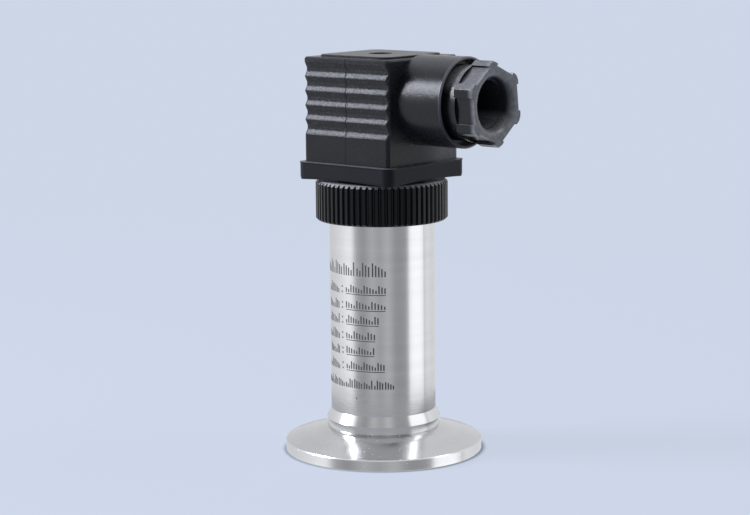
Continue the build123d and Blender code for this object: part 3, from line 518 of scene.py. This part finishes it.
@dataclass(frozen=True)
class RibbedMoulding(Moulding):
    """The plug's plastic: coarse grain on the ribs, smoother and scuffed below, and a painted reflection on
    the gland side.

    A rib's upper face lies round slope_middle, slope_half to each side, in shares of the
    pitch. The side reflection, a painted reflection speckled by the glint noise, lies on the gland side,
    between the limits of y and z.
    """

    rib_low: float = 81.9 * MM
    rib_high: float = 100.2 * MM
    rib_fade: float = 0.3 * MM
    face: float = 13.3 * MM
    side_from: float = 14.6 * MM
    side_to: float = 14.0 * MM
    parting_half: float = 0.15 * MM
    parting_depth: float = 0.7 * MM
    parting_colour: Colour = (0.002, 0.002, 0.003)
    parting_share: float = 0.9
    parting_dulling: float = 0.5
    rib_dulling: float = 0.07
    rib_grain: float = 1.9
    plain_grain: float = 0.9
    boss_z: float = 90.8 * MM
    boss_r: float = 11.3 * MM
    boss_end: float = 27.8 * MM
    rim_from: float = 0.6 * MM
    rim_to: float = 0.35 * MM
    first_rib: float = 81.82 * MM
    rib_pitch: float = 3.64 * MM
    slope_middle: float = 0.195
    slope_half: float = 0.195
    rib_bend: float = 0.5
    glint_size: float = 0.42 * MM
    glint_limits: Tuple[float, float] = (0.52, 0.72)
    glint_share: float = 0.15
    scuff_size: float = 0.5 * MM
    scuff_stretch: Point = (0.25, 0.25, 1.6)
    scuff_colour: Colour = (0.14, 0.145, 0.16)
    scuff_share: float = 0.22
    scuff_dulling: float = 0.15
    side_reflection_share: float = 0.95
    side_reflection_y: Tuple[float, float] = (-2 * MM, 9 * MM)
    side_reflection_z: Tuple[float, float] = (86 * MM, 80 * MM)
    rim_highlight_z: Tuple[float, float] = (-7 * MM, 6 * MM)

    def grain(self, tree: Tree, place: Signal) -> Value:
        """Coarse on the ribbed stretch and finer elsewhere.

        Args:
            tree: the material's tree.
            place: the shaded point.

        Returns:
            The slope of the grain.
        """
        x, _, z = tree.axes(place)
        ribs = z.rise(self.rib_low - self.rib_fade, self.rib_low + self.rib_fade)
        on_box = x.rise(self.side_from, self.side_to)
        return (ribs * on_box * self.rib_grain + self.plain_grain) * self.grain_slope

    def bend(self, tree: Tree, place: Signal, away: Signal) -> Signal:
        """Rounds the upper faces of the ribs towards their crests and roots.

        Args:
            tree: the material's tree.
            place: the shaded point.
            away: the grain's direction.

        Returns:
            The direction in which the normal tips.
        """
        x, _, z = tree.axes(place)
        _, _, upward = tree.facing()
        cycles = (z - self.first_rib) / self.rib_pitch
        turn = cycles.math("FRACT", cycles)
        off = (turn - self.slope_middle) / self.slope_half
        ribs = z.rise(self.rib_low - self.rib_fade, self.rib_low)
        ribs = ribs * z.rise(self.rib_high, self.rib_high - self.rib_fade)
        ribs = ribs * x.rise(self.face + 0.1 * MM, self.face - 0.1 * MM)
        drop = off * off * ribs * upward.rise(0.06, 0.16) * upward.rise(0.7, 0.5) * -self.rib_bend
        return tree.vector("ADD", away, tree.node("ShaderNodeCombineXYZ", {}, {2: drop}))

    def marks(self, tree: Tree, place: Signal, colour: Signal, roughness: Signal) -> Tuple[Signal, Signal]:
        """Adds the parting line, scuffs, painted glints on the ribs, a painted reflection on the gland side
        and a painted highlight round the boss's rim.

        Args:
            tree: the material's tree.
            place: the shaded point.
            colour: the colour so far.
            roughness: the roughness so far.

        Returns:
            The new colour and roughness.
        """
        x, y, z = tree.axes(place)
        line = abs(x).under(self.parting_half) * abs(y).over(self.face - self.parting_depth)
        on_box = x.rise(self.side_from, self.side_to)
        ribs = z.rise(self.rib_low - self.rib_fade, self.rib_low + self.rib_fade) * on_box
        flat = z.rise(self.rib_low, self.rib_low - 2 * self.rib_fade)
        stretched = tree.vector("MULTIPLY", place, self.scuff_stretch)
        scuff = tree.noise(stretched, self.scuff_size, 3.0).rise(0.62, 0.76)
        scuff = scuff * tree.noise(place, 8 * self.scuff_size).rise(0.5, 0.7) * flat
        colour = tree.blend(scuff * self.scuff_share, colour, self.scuff_colour)
        # Painted glints on the ribs, in dust_and_sheen.
        glint = tree.noise(place, self.glint_size, 1.5).rise(*self.glint_limits)
        colour = tree.blend(glint * ribs * self.glint_share, colour, self.dust_and_sheen)
        # Painted reflection on the lower far part of the gland side, speckled by the glint noise.
        side_reflection = x.over(self.face - 0.2 * MM) * on_box * y.rise(*self.side_reflection_y)
        side_reflection = side_reflection * z.rise(*self.side_reflection_z) * (glint * 0.6 + 0.4)
        colour = tree.blend(side_reflection * self.side_reflection_share, colour, self.dust_and_sheen)
        # Painted highlight round the boss's rim, strongest on top and faint all round.
        height = z - self.boss_z
        radius = y.reach(height)
        rim = x.rise(self.boss_end - self.rim_from, self.boss_end - self.rim_to)
        rim = rim * radius.rise(self.boss_r - self.rim_from, self.boss_r - self.rim_to)
        rim = rim * (height.rise(*self.rim_highlight_z) * 0.65 + 0.1)
        colour = tree.blend(rim, colour, self.dust_and_sheen)
        colour = tree.blend(line * self.parting_share, colour, self.parting_colour)
        roughness = roughness + scuff * self.scuff_dulling + ribs * self.rib_dulling
        return colour, roughness + line * self.parting_dulling


@dataclass(frozen=True)
class ThreadedMoulding(Moulding):
    """The gland nut's plastic: a painted reflection on its front, painted highlights on its bevels, painted
    light in its bore, and painted shade in the thread on its shank.
    """

    axis_z: float = 90.8 * MM
    thread_end: float = 29.6 * MM
    pitch: float = 1.5 * MM
    valley_shade_colour: Colour = (0.004, 0.004, 0.005)
    valley_shade_share: float = 0.7
    valley_dulling: float = 0.2
    front: float = 36.4 * MM
    bore_r: float = 6.4 * MM
    bore_light_share: float = 0.06
    patch_size: float = 1.2 * MM
    front_reflection_from: float = 1.6 * MM
    front_reflection_to: float = 0.1 * MM
    front_reflection_share: float = 0.68
    edge_from: float = 1.2 * MM
    edge_to: float = 0.8 * MM
    bevel_highlight_share: float = 0.8
    bevel_highlight_colour: Colour = (0.38, 0.39, 0.41)

    def marks(self, tree: Tree, place: Signal, colour: Signal, roughness: Signal) -> Tuple[Signal, Signal]:
        """Paints a reflection on the front, highlights on its bevels and light in the bore, and paints shade
        into the thread's valleys.

        Args:
            tree: the material's tree.
            place: the shaded point.
            colour: the colour so far.
            roughness: the roughness so far.

        Returns:
            The new colour and roughness.
        """
        x, y, z = tree.axes(place)
        height = z - self.axis_z
        radius = y.reach(height)
        patches = tree.noise(place, self.patch_size, 3.0).rise(0.25, 0.75) * 0.4 + 0.6
        # Painted reflection: the front face turned paler.
        front_reflection = x.rise(self.front - self.front_reflection_from, self.front - self.front_reflection_to) * patches
        colour = tree.blend(front_reflection * self.front_reflection_share, colour, self.dust_and_sheen)
        # Painted highlights on the front's bevels.
        ahead, _, _ = tree.facing()
        edge = ahead.rise(0.15, 0.35) * ahead.rise(0.97, 0.85)
        edge = edge * x.rise(self.front - self.edge_from, self.front - self.edge_to)
        edge = edge * radius.rise(self.bore_r + 2 * MM, self.bore_r + 2.6 * MM)
        colour = tree.blend(edge * self.bevel_highlight_share, colour, self.bevel_highlight_colour)
        # Painted light inside the bore.
        inside = radius.rise(self.bore_r + 0.3 * MM, self.bore_r)
        colour = tree.blend(inside * patches * self.bore_light_share, colour, self.dust_and_sheen)
        # Painted shade in the thread's valleys on the shank.
        valley_shade = (x * (2 * math.pi / self.pitch)).wave().rise(0.2, 0.9)
        valley_shade = valley_shade * x.rise(self.thread_end, self.thread_end - 0.2 * MM)
        colour = tree.blend(valley_shade * self.valley_shade_share, colour, self.valley_shade_colour)
        return colour, roughness + valley_shade * self.valley_dulling


@dataclass(frozen=True)
class Etching(Finish):
    """Laser-etched marks: dull oxide, uneven in tone."""

    speckle_size: float = 0.22 * MM
    speckle_lift: float = 1.9
    cloud_size: float = 2.5 * MM
    cloud_dulling: float = 0.15
    metallic: float = 0.55

    def shade(self, tree: Tree) -> None:
        """Dark oxide with a lighter speckle.

        Args:
            tree: the material's tree.
        """
        place = tree.place()
        speckle = tree.noise(place, self.speckle_size, 3.0)
        cloud = tree.noise(place, self.cloud_size)
        lighter = tuple(c * self.speckle_lift for c in self.colour)
        tree.surface(
            {
                "Base Color": tree.blend(speckle.rise(0.35, 0.75), self.colour, lighter),
                "Metallic": self.metallic,
                "Roughness": (cloud - 0.5) * self.cloud_dulling + self.roughness,
            }
        )


@dataclass(frozen=True)
class BoardMask(Finish):
    """Solder mask with copper tracks showing through."""

    track_pitch: float = 1.27 * MM
    track_lift: float = 1.8
    track_dulling: float = 0.1
    weave_pitch: float = 0.5 * MM
    weave_dulling: float = 0.02

    def shade(self, tree: Tree) -> None:
        """Green mask over a net of tracks.

        Args:
            tree: the material's tree.
        """
        place = tree.place()
        x, _, z = tree.axes(place)
        settings = {"distance": "MANHATTAN", "feature": "F1"}
        inputs = {"Vector": place, "Scale": 1 / self.track_pitch}
        track = tree.node("ShaderNodeTexVoronoi", settings, inputs).rise(0.42, 0.50)
        turn = 2 * math.pi / self.weave_pitch
        weave = ((x * turn).wave() + (z * turn).wave()) * self.weave_dulling
        lighter = tuple(min(1.0, c * self.track_lift) for c in self.colour)
        tree.surface(
            {
                "Base Color": tree.blend(track, self.colour, lighter),
                "Roughness": weave + track * self.track_dulling + self.roughness,
            }
        )


class Gloss(Enum):
    """How shiny a plain small part is."""

    DULL = 0.60
    SATIN = 0.42
    SHINY = 0.22


STEEL = TurnedSteel(
    "turned_stainless",
    "stainless_steel",
    (0.57, 0.57, 0.575),
    0.22,
    dusty_below=7 * MM,
    polished_below=11.4 * MM,
    thread=(62.6 * MM, 67.3 * MM, 1.0 * MM),
)
FOIL = TurnedSteel("diaphragm_foil", "diaphragm_foil", (0.62, 0.62, 0.63), 0.20, line_slope=0.04)
CELL = TurnedSteel("cell_steel", "cell_steel", (0.46, 0.465, 0.48), 0.32)
SCREW = TurnedSteel(
    "plated_screw",
    "plated_screw",
    (0.50, 0.51, 0.52),
    0.30,
    thread=(66 * MM, 76 * MM, 0.5 * MM),
)
CLAMP_SCREW = PlainMetal("plated_clamp_screw", "plated_screw", (0.50, 0.51, 0.52), 0.30)
TIN = PlainMetal("tinned_contact", "tinned_brass", (0.66, 0.66, 0.64), 0.26)
GOLD = PlainMetal("gilt_pin", "gold_pins", (0.80, 0.60, 0.25), Gloss.SHINY.value)
BRASS = PlainMetal("turned_brass", "brass", (0.62, 0.46, 0.20), 0.30)
CAN = PlainMetal("drawn_can", "capacitor_can", (0.74, 0.75, 0.77), 0.28)
PLUG_PLASTIC = RibbedMoulding("plug_plastic", "black_plastic", (0.0055, 0.006, 0.0075), 0.27, gloss=0.20)
BASE_PLASTIC = Moulding("base_plastic", "black_plastic", (0.0055, 0.006, 0.0075), Gloss.SATIN.value)
# The nut's dust_and_sheen is mostly painted light: a painted reflection on its front, painted light in its
# bore, and a dusting with a painted highlight on its top faces.
NUT_PLASTIC = ThreadedMoulding(
    "nut_plastic",
    "black_plastic",
    (0.004, 0.0045, 0.006),
    0.25,
    grain_slope=0.16,
    gloss=0.24,
    top_dust_and_sheen=0.8,
    top_dust_and_sheen_from=0.28,
    dust_and_sheen=(0.21, 0.215, 0.23),
)
# The ring's dust_and_sheen on faces that face up is painted glints on its rib tips.
RING_PLASTIC = Moulding(
    "ring_plastic",
    "ring_plastic",
    (0.004, 0.0042, 0.005),
    0.30,
    grain_slope=0.10,
    pale_share=0.03,
    gloss=0.22,
    top_dust_and_sheen=0.7,
    top_dust_and_sheen_from=0.12,
    dust_and_sheen=(0.40, 0.41, 0.43),
)
# The gasket's dust_and_sheen on faces that face up is a dusting and a painted highlight along its lip.
GASKET_RUBBER = Moulding(
    "gasket_rubber",
    "rubber",
    (0.006, 0.0065, 0.009),
    0.42,
    grain_slope=0.10,
    pale_share=0.04,
    gloss=0.12,
    top_dust_and_sheen=0.8,
    top_dust_and_sheen_from=0.35,
)
SEAL_RUBBER = Moulding("seal_rubber", "seal_rubber", (0.05, 0.052, 0.056), Gloss.DULL.value, grain_slope=0.06)
NYLON = Moulding(
    "natural_nylon",
    "natural_nylon",
    (0.70, 0.68, 0.60),
    Gloss.SATIN.value,
    pale=(0.80, 0.78, 0.70),
    grain_slope=0.06,
)
EPOXY = Moulding("chip_epoxy", "chip_epoxy", (0.018, 0.018, 0.019), Gloss.DULL.value, grain_size=0.12 * MM)
WIRE = Moulding(
    "wire_jacket",
    "wire_jacket",
    (0.42, 0.05, 0.04),
    Gloss.SATIN.value,
    pale=(0.55, 0.10, 0.08),
    grain_slope=0.04,
)
MASK = BoardMask("solder_mask", "circuit_board", (0.02, 0.13, 0.05), 0.34)
ETCH = Etching("laser_etching", "stainless_steel", (0.055, 0.056, 0.062), 0.625)


def dress(node: str, finish: Finish) -> bpy.types.Object:
    """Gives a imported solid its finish.

    Args:
        node: the solid's name.
        finish: what it is made of.

    Returns:
        The solid's object.
    """
    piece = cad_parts[node]
    piece.data.materials.clear()
    piece.data.materials.append(finish.material())
    log.info("%s: %s", node, finish.name)
    return piece


def piece_from(mesh: bmesh.types.BMesh, name: str, finish: Finish, body: str) -> bpy.types.Object:
    """Turns a finished mesh into a piece that rides on a body.

    Args:
        mesh: the mesh, in metres in the part's frame; it is freed.
        name: the piece's name.
        finish: what it is made of.
        body: the body that carries it.

    Returns:
        The new object.
    """
    bmesh.ops.recalc_face_normals(mesh, faces=mesh.faces)
    data = bpy.data.meshes.new(name)
    mesh.to_mesh(data)
    mesh.free()
    data.materials.append(finish.material())
    piece = bpy.data.objects.new(name, data)
    bpy.context.scene.collection.objects.link(piece)
    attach(piece, body)
    log.info("%s: %s, %d faces", name, finish.name, len(data.polygons))
    return piece


@dataclass
class EtchedPanel:
    """Plain strokes lasered round the tube: a heading, six lines, a footer and a dot.

    Starts and ends are degrees round the tube, measured from the line that faces the camera.
    Sizes and heights above the sealing face are millimetres. A line is its lower edge, its
    upper edge, the end of its run and the number of strokes in the run.
    """

    tube_r: float = 13.44
    facing_deg: float = -50.03
    lift: float = 0.012
    sink: float = 0.03
    arc_step: float = 3.0
    stroke: float = 0.36
    stroke_heights: Tuple[float, ...] = (1.0, 0.58, 0.84, 0.42, 0.72)
    groups_end: float = -52.5
    group_gap: float = 0.5
    dots_start: float = -50.0
    dot: float = 0.42
    run_start: float = -43.5
    rule: float = 0.2
    heading: float = 3.5
    heading_low: float = 46.9
    heading_end: float = 3.6
    heading_gap: float = 0.65
    lines: Sequence[Tuple[float, float, float, int]] = (
        (42.15, 44.65, 3.4, 15),
        (38.1, 40.6, 3.0, 14),
        (34.3, 36.8, -4.5, 13),
        (30.3, 32.8, -8.5, 11),
        (26.5, 28.8, -9.5, 11),
        (22.5, 25.0, 1.5, 15),
    )
    footer: float = 2.3
    footer_low: float = 18.15
    footer_end: float = 13.5
    footer_pitch: float = 2.75
    last_dot: float = 0.35
    last_dot_start: float = -31.2
    last_dot_low: float = 15.4

    def spot(self, mesh: bmesh.types.BMesh, start: float, end: float, low: float, high: float) -> None:
        """Adds one curved bar.

        Args:
            mesh: the mesh that it joins.
            start: the angle of its left edge.
            end: the angle of its right edge.
            low: the height of its lower edge.
            high: the height of its upper edge.
        """
        count = max(1, math.ceil((end - start) / self.arc_step))
        rows: List[List[bmesh.types.BMVert]] = []
        for index in range(count + 1):
            turn = math.radians(self.facing_deg + start + (end - start) * index / count)
            corners = []
            for radius, height in (
                (self.tube_r - self.sink, low),
                (self.tube_r + self.lift, low),
                (self.tube_r + self.lift, high),
                (self.tube_r - self.sink, high),
            ):
                corner = Vector((radius * math.cos(turn), radius * math.sin(turn), height)) * MM
                corners.append(mesh.verts.new(corner))
            rows.append(corners)
        for first, second in zip(rows, rows[1:]):
            for side in range(4):
                after = (side + 1) % 4
                mesh.faces.new((first[side], first[after], second[after], second[side]))
        mesh.faces.new(rows[0][::-1])
        mesh.faces.new(rows[-1])

    def width(self, millimetres: float) -> float:
        """The angle that a length takes round the tube."""
        return math.degrees(millimetres / self.tube_r)

    def strokes(
        self,
        mesh: bmesh.types.BMesh,
        start: float,
        low: float,
        wide: float,
        high: float,
        count: int,
        seed: int,
    ) -> None:
        """Adds a group of upright strokes of differing heights, side by side.

        Args:
            mesh: the mesh that it joins.
            start: the angle of the group's left edge.
            low: the height of its lower edge.
            wide: its width.
            high: how tall its tallest stroke is.
            count: how many strokes it has.
            seed: a number that varies their heights.
        """
        step = (wide - self.stroke) / (count - 1)
        for index in range(count):
            share = self.stroke_heights[(seed + 2 * index) % len(self.stroke_heights)]
            left = start + self.width(step * index)
            self.spot(mesh, left, left + self.width(self.stroke), low, low + high * share)

    def line_of_marks(
        self, mesh: bmesh.types.BMesh, low: float, high: float, end: float, count: int, seed: int
    ) -> None:
        """Adds one line: two short groups, two dots and a run of strokes over a thin base line.

        Args:
            mesh: the mesh that it joins.
            low: the height of its lower edge.
            high: the height of its upper edge.
            end: the angle where the run ends.
            count: how many strokes the run has.
            seed: a number that varies the strokes.
        """
        size = high - low
        for index in range(2):
            start = self.groups_end - self.width((size + self.group_gap) * (2 - index))
            self.strokes(mesh, start, low, size, size, 4, seed + index)
        dots_end = self.dots_start + self.width(self.dot)
        for foot in (low + 0.25, high - 0.9):
            self.spot(mesh, self.dots_start, dots_end, foot, foot + self.dot)
        wide = math.radians(end - self.run_start) * self.tube_r
        self.strokes(mesh, self.run_start, low + 0.5, wide, size - 0.5, count, seed)
        self.spot(mesh, self.run_start, end, low, low + self.rule)

    def build(self) -> None:
        """Builds the whole panel as one piece on the tube."""
        mesh = bmesh.new()
        size = self.heading
        for index in range(5):
            start = self.heading_end - self.width(size) - index * self.width(size + self.heading_gap)
            self.strokes(mesh, start, self.heading_low, size, size, 5, index)
        for index, (low, high, end, count) in enumerate(self.lines):
            self.line_of_marks(mesh, low, high, end, count, index + 1)
        size = self.footer
        for index in range(9):
            start = self.footer_end - self.width(self.footer_pitch) * (index + 1)
            self.strokes(mesh, start, self.footer_low, size, size, 4, index + 2)
        start, low = self.last_dot_start, self.last_dot_low
        self.spot(mesh, start, start + self.width(self.last_dot), low, low + self.last_dot)
        piece_from(mesh, "etched_panel", ETCH, "transmitter")


@dataclass
class Assembly:
    """A sub-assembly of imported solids, each with its finish."""

    finishes: Dict[str, Finish] = field(default_factory=dict)

    def build(self) -> None:
        """Dresses the solids."""
        for node, finish in self.finishes.items():
            dress(node, finish)


@dataclass
class Barrel(Assembly):
    """The steel parts: ferrule, tube, diaphragm and what they hold."""

    panel: EtchedPanel = field(default_factory=EtchedPanel)
    finishes: Dict[str, Finish] = field(
        default_factory=lambda: {
            "clamp_ferrule": STEEL,
            "housing_tube": STEEL,
            "isolating_diaphragm": FOIL,
            "sensor_cell": CELL,
            "fill_ball": CELL,
            "retaining_ring": CELL,
            "sensor_seal": SEAL_RUBBER,
            "sensor_pins": GOLD,
        }
    )

    def build(self) -> None:
        """Dresses the steel parts and adds the etched panel."""
        super().build()
        self.panel.build()


@dataclass
class Electronics(Assembly):
    """Boards, small parts, connector and wires inside the tube."""

    finishes: Dict[str, Finish] = field(
        default_factory=lambda: {
            "board_holder": NYLON,
            "sensor_board": MASK,
            "amplifier_board": MASK,
            "signal_chip": EPOXY,
            "output_transistor": EPOXY,
            "filter_capacitors": CAN,
            "chip_resistors": EPOXY,
            "board_socket": NYLON,
            "board_plug": NYLON,
            "wire_harness": WIRE,
        }
    )


@dataclass
class Head(Assembly):
    """Socket base with its blades, and the ribbed union ring."""

    finishes: Dict[str, Finish] = field(
        default_factory=lambda: {
            "socket_base": BASE_PLASTIC,
            "contact_blades": TIN,
            "earth_blade": TIN,
            "screw_insert": BRASS,
            "base_seal": SEAL_RUBBER,
            "union_ring": RING_PLASTIC,
        }
    )


@dataclass
class Plug(Assembly):
    """Square plug: gasket, housing, terminals, centre screw and cable gland."""

    finishes: Dict[str, Finish] = field(
        default_factory=lambda: {
            "profile_gasket": GASKET_RUBBER,
            "plug_housing": PLUG_PLASTIC,
            "terminal_carrier": BASE_PLASTIC,
            "socket_contacts": TIN,
            "terminal_screws": CLAMP_SCREW,
            "screw_washer": GASKET_RUBBER,
            "centre_screw": SCREW,
            "gland_seal": GASKET_RUBBER,
            "gland_washer": NYLON,
            "gland_nut": NUT_PLASTIC,
        }
    )


@dataclass(frozen=True)
class Softbox:
    """One rectangular lamp that faces the object.

    The bearing is counted in degrees from the camera's side, to the right as seen.
    """

    name: str
    bearing: float
    distance: float
    height: float
    wide: float
    tall: float
    radiance: float
    colour: Colour = (1.0, 1.0, 1.0)


@dataclass
class Studio:
    """Camera, floor, backdrop colour, light panels all round and lamps.

    A wall level is a bearing in degrees from the camera's side, to the right as seen, and
    the brightness there. Metal mirrors the floor only from mirrored_from to mirrored_to.
    """

    camera_place: Point = (0.341522, -0.407379, 0.137527)
    aim: Point = (0.0, 0.0, 0.052)
    roll_deg: float = -0.484
    lens: float = 101.09
    shift: Tuple[float, float] = (-0.00964, -0.01187)
    clip: Tuple[float, float] = (0.01, 50.0)
    backdrop: Colour = (0.610, 0.672, 0.799)
    floor_half: float = 6.0
    mirrored_from: float = 0.040
    mirrored_to: float = 0.070
    contact_shadow_from: float = 0.0252
    contact_shadow_to: float = 0.0270
    contact_shadow_share: float = 0.8
    contact_shadow_colour: Colour = (0.10, 0.12, 0.16)
    glow_near: float = 0.88
    glow_from: float = 0.02
    glow_to: float = 0.55
    mirrored_floor: float = 0.42
    paint_depth: float = 0.85
    wall_tint: Colour = (0.985, 1.0, 1.025)
    wall_diffuse_share: float = 0.6
    ceiling_level: float = 1.0
    ceiling_from: float = 0.50
    ceiling_to: float = 0.82
    wall_levels: Sequence[Tuple[float, float]] = (
        (-180, 0.80),
        (-158, 0.82),
        (-97, 1.22),
        (-76, 1.45),
        (-69, 1.35),
        (-61, 0.60),
        (-42, 0.45),
        (-23, 0.72),
        (-6, 0.54),
        (12, 0.76),
        (28, 0.47),
        (52, 0.48),
        (58, 0.60),
        (61, 1.72),
        (96, 1.75),
        (100, 1.00),
        (106, 0.95),
        (112, 1.25),
        (135, 1.05),
        (180, 0.80),
    )
    lamp_aim: Point = (0.0, 0.0, 0.055)
    lamps: Sequence[Softbox] = (
        Softbox("key_softbox", -89.0, 0.85, 0.49, 0.30, 0.42, 33.0, (0.91, 0.95, 1.07)),
        Softbox("high_right_softbox", 95.0, 0.80, 0.92, 0.36, 0.30, 6.5, (0.98, 0.99, 1.02)),
    )

    def forward(self) -> Vector:
        """The direction in which the camera looks."""
        return (Vector(self.aim) - Vector(self.camera_place)).normalized()

    def camera_bearing(self) -> float:
        """The angle round Z at which the camera stands, seen from the object."""
        ahead = self.forward()
        return math.atan2(-ahead.y, -ahead.x)

    def camera(self) -> None:
        """Sets the camera up as the photograph was taken."""
        ahead = self.forward()
        right = ahead.cross(Vector((0, 0, 1))).normalized()
        up = right.cross(ahead)
        turn = math.radians(self.roll_deg)
        cos, sin = math.cos(turn), math.sin(turn)
        right, up = right * cos + up * sin, up * cos - right * sin
        data = bpy.data.cameras.new("camera")
        data.sensor_fit = "HORIZONTAL"
        data.sensor_width = 36.0
        data.lens = self.lens
        data.shift_x, data.shift_y = self.shift
        data.clip_start, data.clip_end = self.clip
        made = bpy.data.objects.new("camera", data)
        bpy.context.scene.collection.objects.link(made)
        basis = Matrix((right, up, -ahead)).transposed().to_4x4()
        made.matrix_world = Matrix.Translation(Vector(self.camera_place)) @ basis
        bpy.context.scene.camera = made

    def floor(self) -> None:
        """Lays a plain pale floor that keeps a soft shadow, with a painted contact shadow round the flange,
        and is clear from below.
        """
        mesh = bmesh.new()
        half = self.floor_half
        corners = [(-half, -half, 0), (half, -half, 0), (half, half, 0), (-half, half, 0)]
        mesh.faces.new([mesh.verts.new(corner) for corner in corners])
        data = bpy.data.meshes.new("floor")
        mesh.to_mesh(data)
        mesh.free()
        material = bpy.data.materials.new("floor_paint")
        material.use_nodes = True
        tree = Tree(material.node_tree)
        x, y, _ = tree.axes(tree.place())
        reach = x.reach(y)
        camera = tree.ray("Is Camera Ray")
        glossy = tree.ray("Is Glossy Ray")
        backdrop = tuple(c * self.paint_depth for c in self.backdrop)
        colours = (backdrop, (self.mirrored_floor,) * 3, self.contact_shadow_colour)
        paints = [tree.node("ShaderNodeBsdfDiffuse", {}, {"Color": colour}) for colour in colours]
        # Painted contact shadow: a dark ring on the floor round the flange's foot, also kept out of the
        # camera's glow.
        contact_shadow = reach.rise(self.contact_shadow_to, self.contact_shadow_from) * self.contact_shadow_share
        paint = tree.layers(contact_shadow, tree.layers(glossy, paints[0], paints[1]), paints[2])
        glow = tree.node("ShaderNodeEmission", {}, {"Color": self.backdrop})
        share = reach.rise(self.glow_from, self.glow_to) * (1 - self.glow_near) + self.glow_near
        seen = tree.layers(camera * share * (1 - contact_shadow), paint, glow)
        mirrored = reach.over(self.mirrored_from) * reach.under(self.mirrored_to)
        below = tree.node("ShaderNodeNewGeometry", {}, {}, "Backfacing")
        unseen = glossy * (1 - mirrored)
        through = unseen.math("MAXIMUM", unseen, below)
        clear = tree.node("ShaderNodeBsdfTransparent", {}, {})
        tree.node_output(tree.layers(through, seen, clear))
        data.materials.append(material)
        made = bpy.data.objects.new("floor", data)
        bpy.context.scene.collection.objects.link(made)

    def world(self) -> None:
        """Surrounds the object with soft light panels and the camera's plain backdrop."""
        world = bpy.data.worlds.new("room")
        bpy.context.scene.world = world
        world.use_nodes = True
        tree = Tree(world.node_tree)
        camera = tree.ray("Is Camera Ray")
        glossy = tree.ray("Is Glossy Ray")
        x, y, z = tree.axes(tree.node("ShaderNodeTexCoord", {}, {}, "Generated"))
        start = self.camera_bearing() - math.pi
        turn = (x.math("ARCTAN2", y, x) - start) / (2 * math.pi)
        brightest = max(level for _, level in self.wall_levels)
        stops = [((bearing + 180) / 360, (level / brightest,) * 3) for bearing, level in self.wall_levels]
        walls = tree.node("ShaderNodeValToRGB", {"stops": stops}, {0: turn.math("FRACT", turn)})
        ceiling = (self.ceiling_level / brightest,) * 3
        panels = tree.blend(z.rise(self.ceiling_from, self.ceiling_to), walls, ceiling)
        settings = {"data_type": "RGBA", "blend_type": "MULTIPLY"}
        light = tree.node("ShaderNodeMix", settings, {0: 1.0, 6: panels, 7: self.wall_tint}, 2)
        strength = (glossy * (1 - self.wall_diffuse_share) + self.wall_diffuse_share) * brightest
        strength = strength * (1 - camera) + camera
        colour = tree.blend(camera, light, self.backdrop)
        room = tree.node("ShaderNodeBackground", {}, {"Color": colour, "Strength": strength})
        made = tree.nodes.nodes.new("ShaderNodeOutputWorld")
        tree.nodes.links.new(room.socket, made.inputs["Surface"])

    def lamp(self, box: Softbox) -> None:
        """Hangs one softbox.

        Args:
            box: the softbox to hang.
        """
        towards = self.camera_bearing() + math.radians(box.bearing)
        out = Vector((math.cos(towards), math.sin(towards), 0.0)) * box.distance
        place = out + Vector((0.0, 0.0, box.height))
        data = bpy.data.lights.new(box.name, "AREA")
        data.shape = "RECTANGLE"
        data.size = box.wide
        data.size_y = box.tall
        data.color = box.colour
        data.energy = math.pi * box.wide * box.tall * box.radiance
        made = bpy.data.objects.new(box.name, data)
        made.visible_camera = False
        bpy.context.scene.collection.objects.link(made)
        made.location = place
        made.rotation_euler = (Vector(self.lamp_aim) - place).to_track_quat("-Z", "Y").to_euler()
        log.info("%s: %.2f W", box.name, data.energy)

    def build(self) -> None:
        """Sets up the whole studio."""
        self.camera()
        self.floor()
        self.world()
        for box in self.lamps:
            self.lamp(box)
        bpy.context.scene.view_settings.view_transform = "Standard"


def main() -> None:
    """Builds the studio and dresses each sub-assembly in order."""
    logging.basicConfig(level=logging.INFO, format="%(name)s %(message)s")
    for assembly in (Studio(), Barrel(), Electronics(), Head(), Plug()):
        assembly.build()


if __name__ == "__main__":
    main()
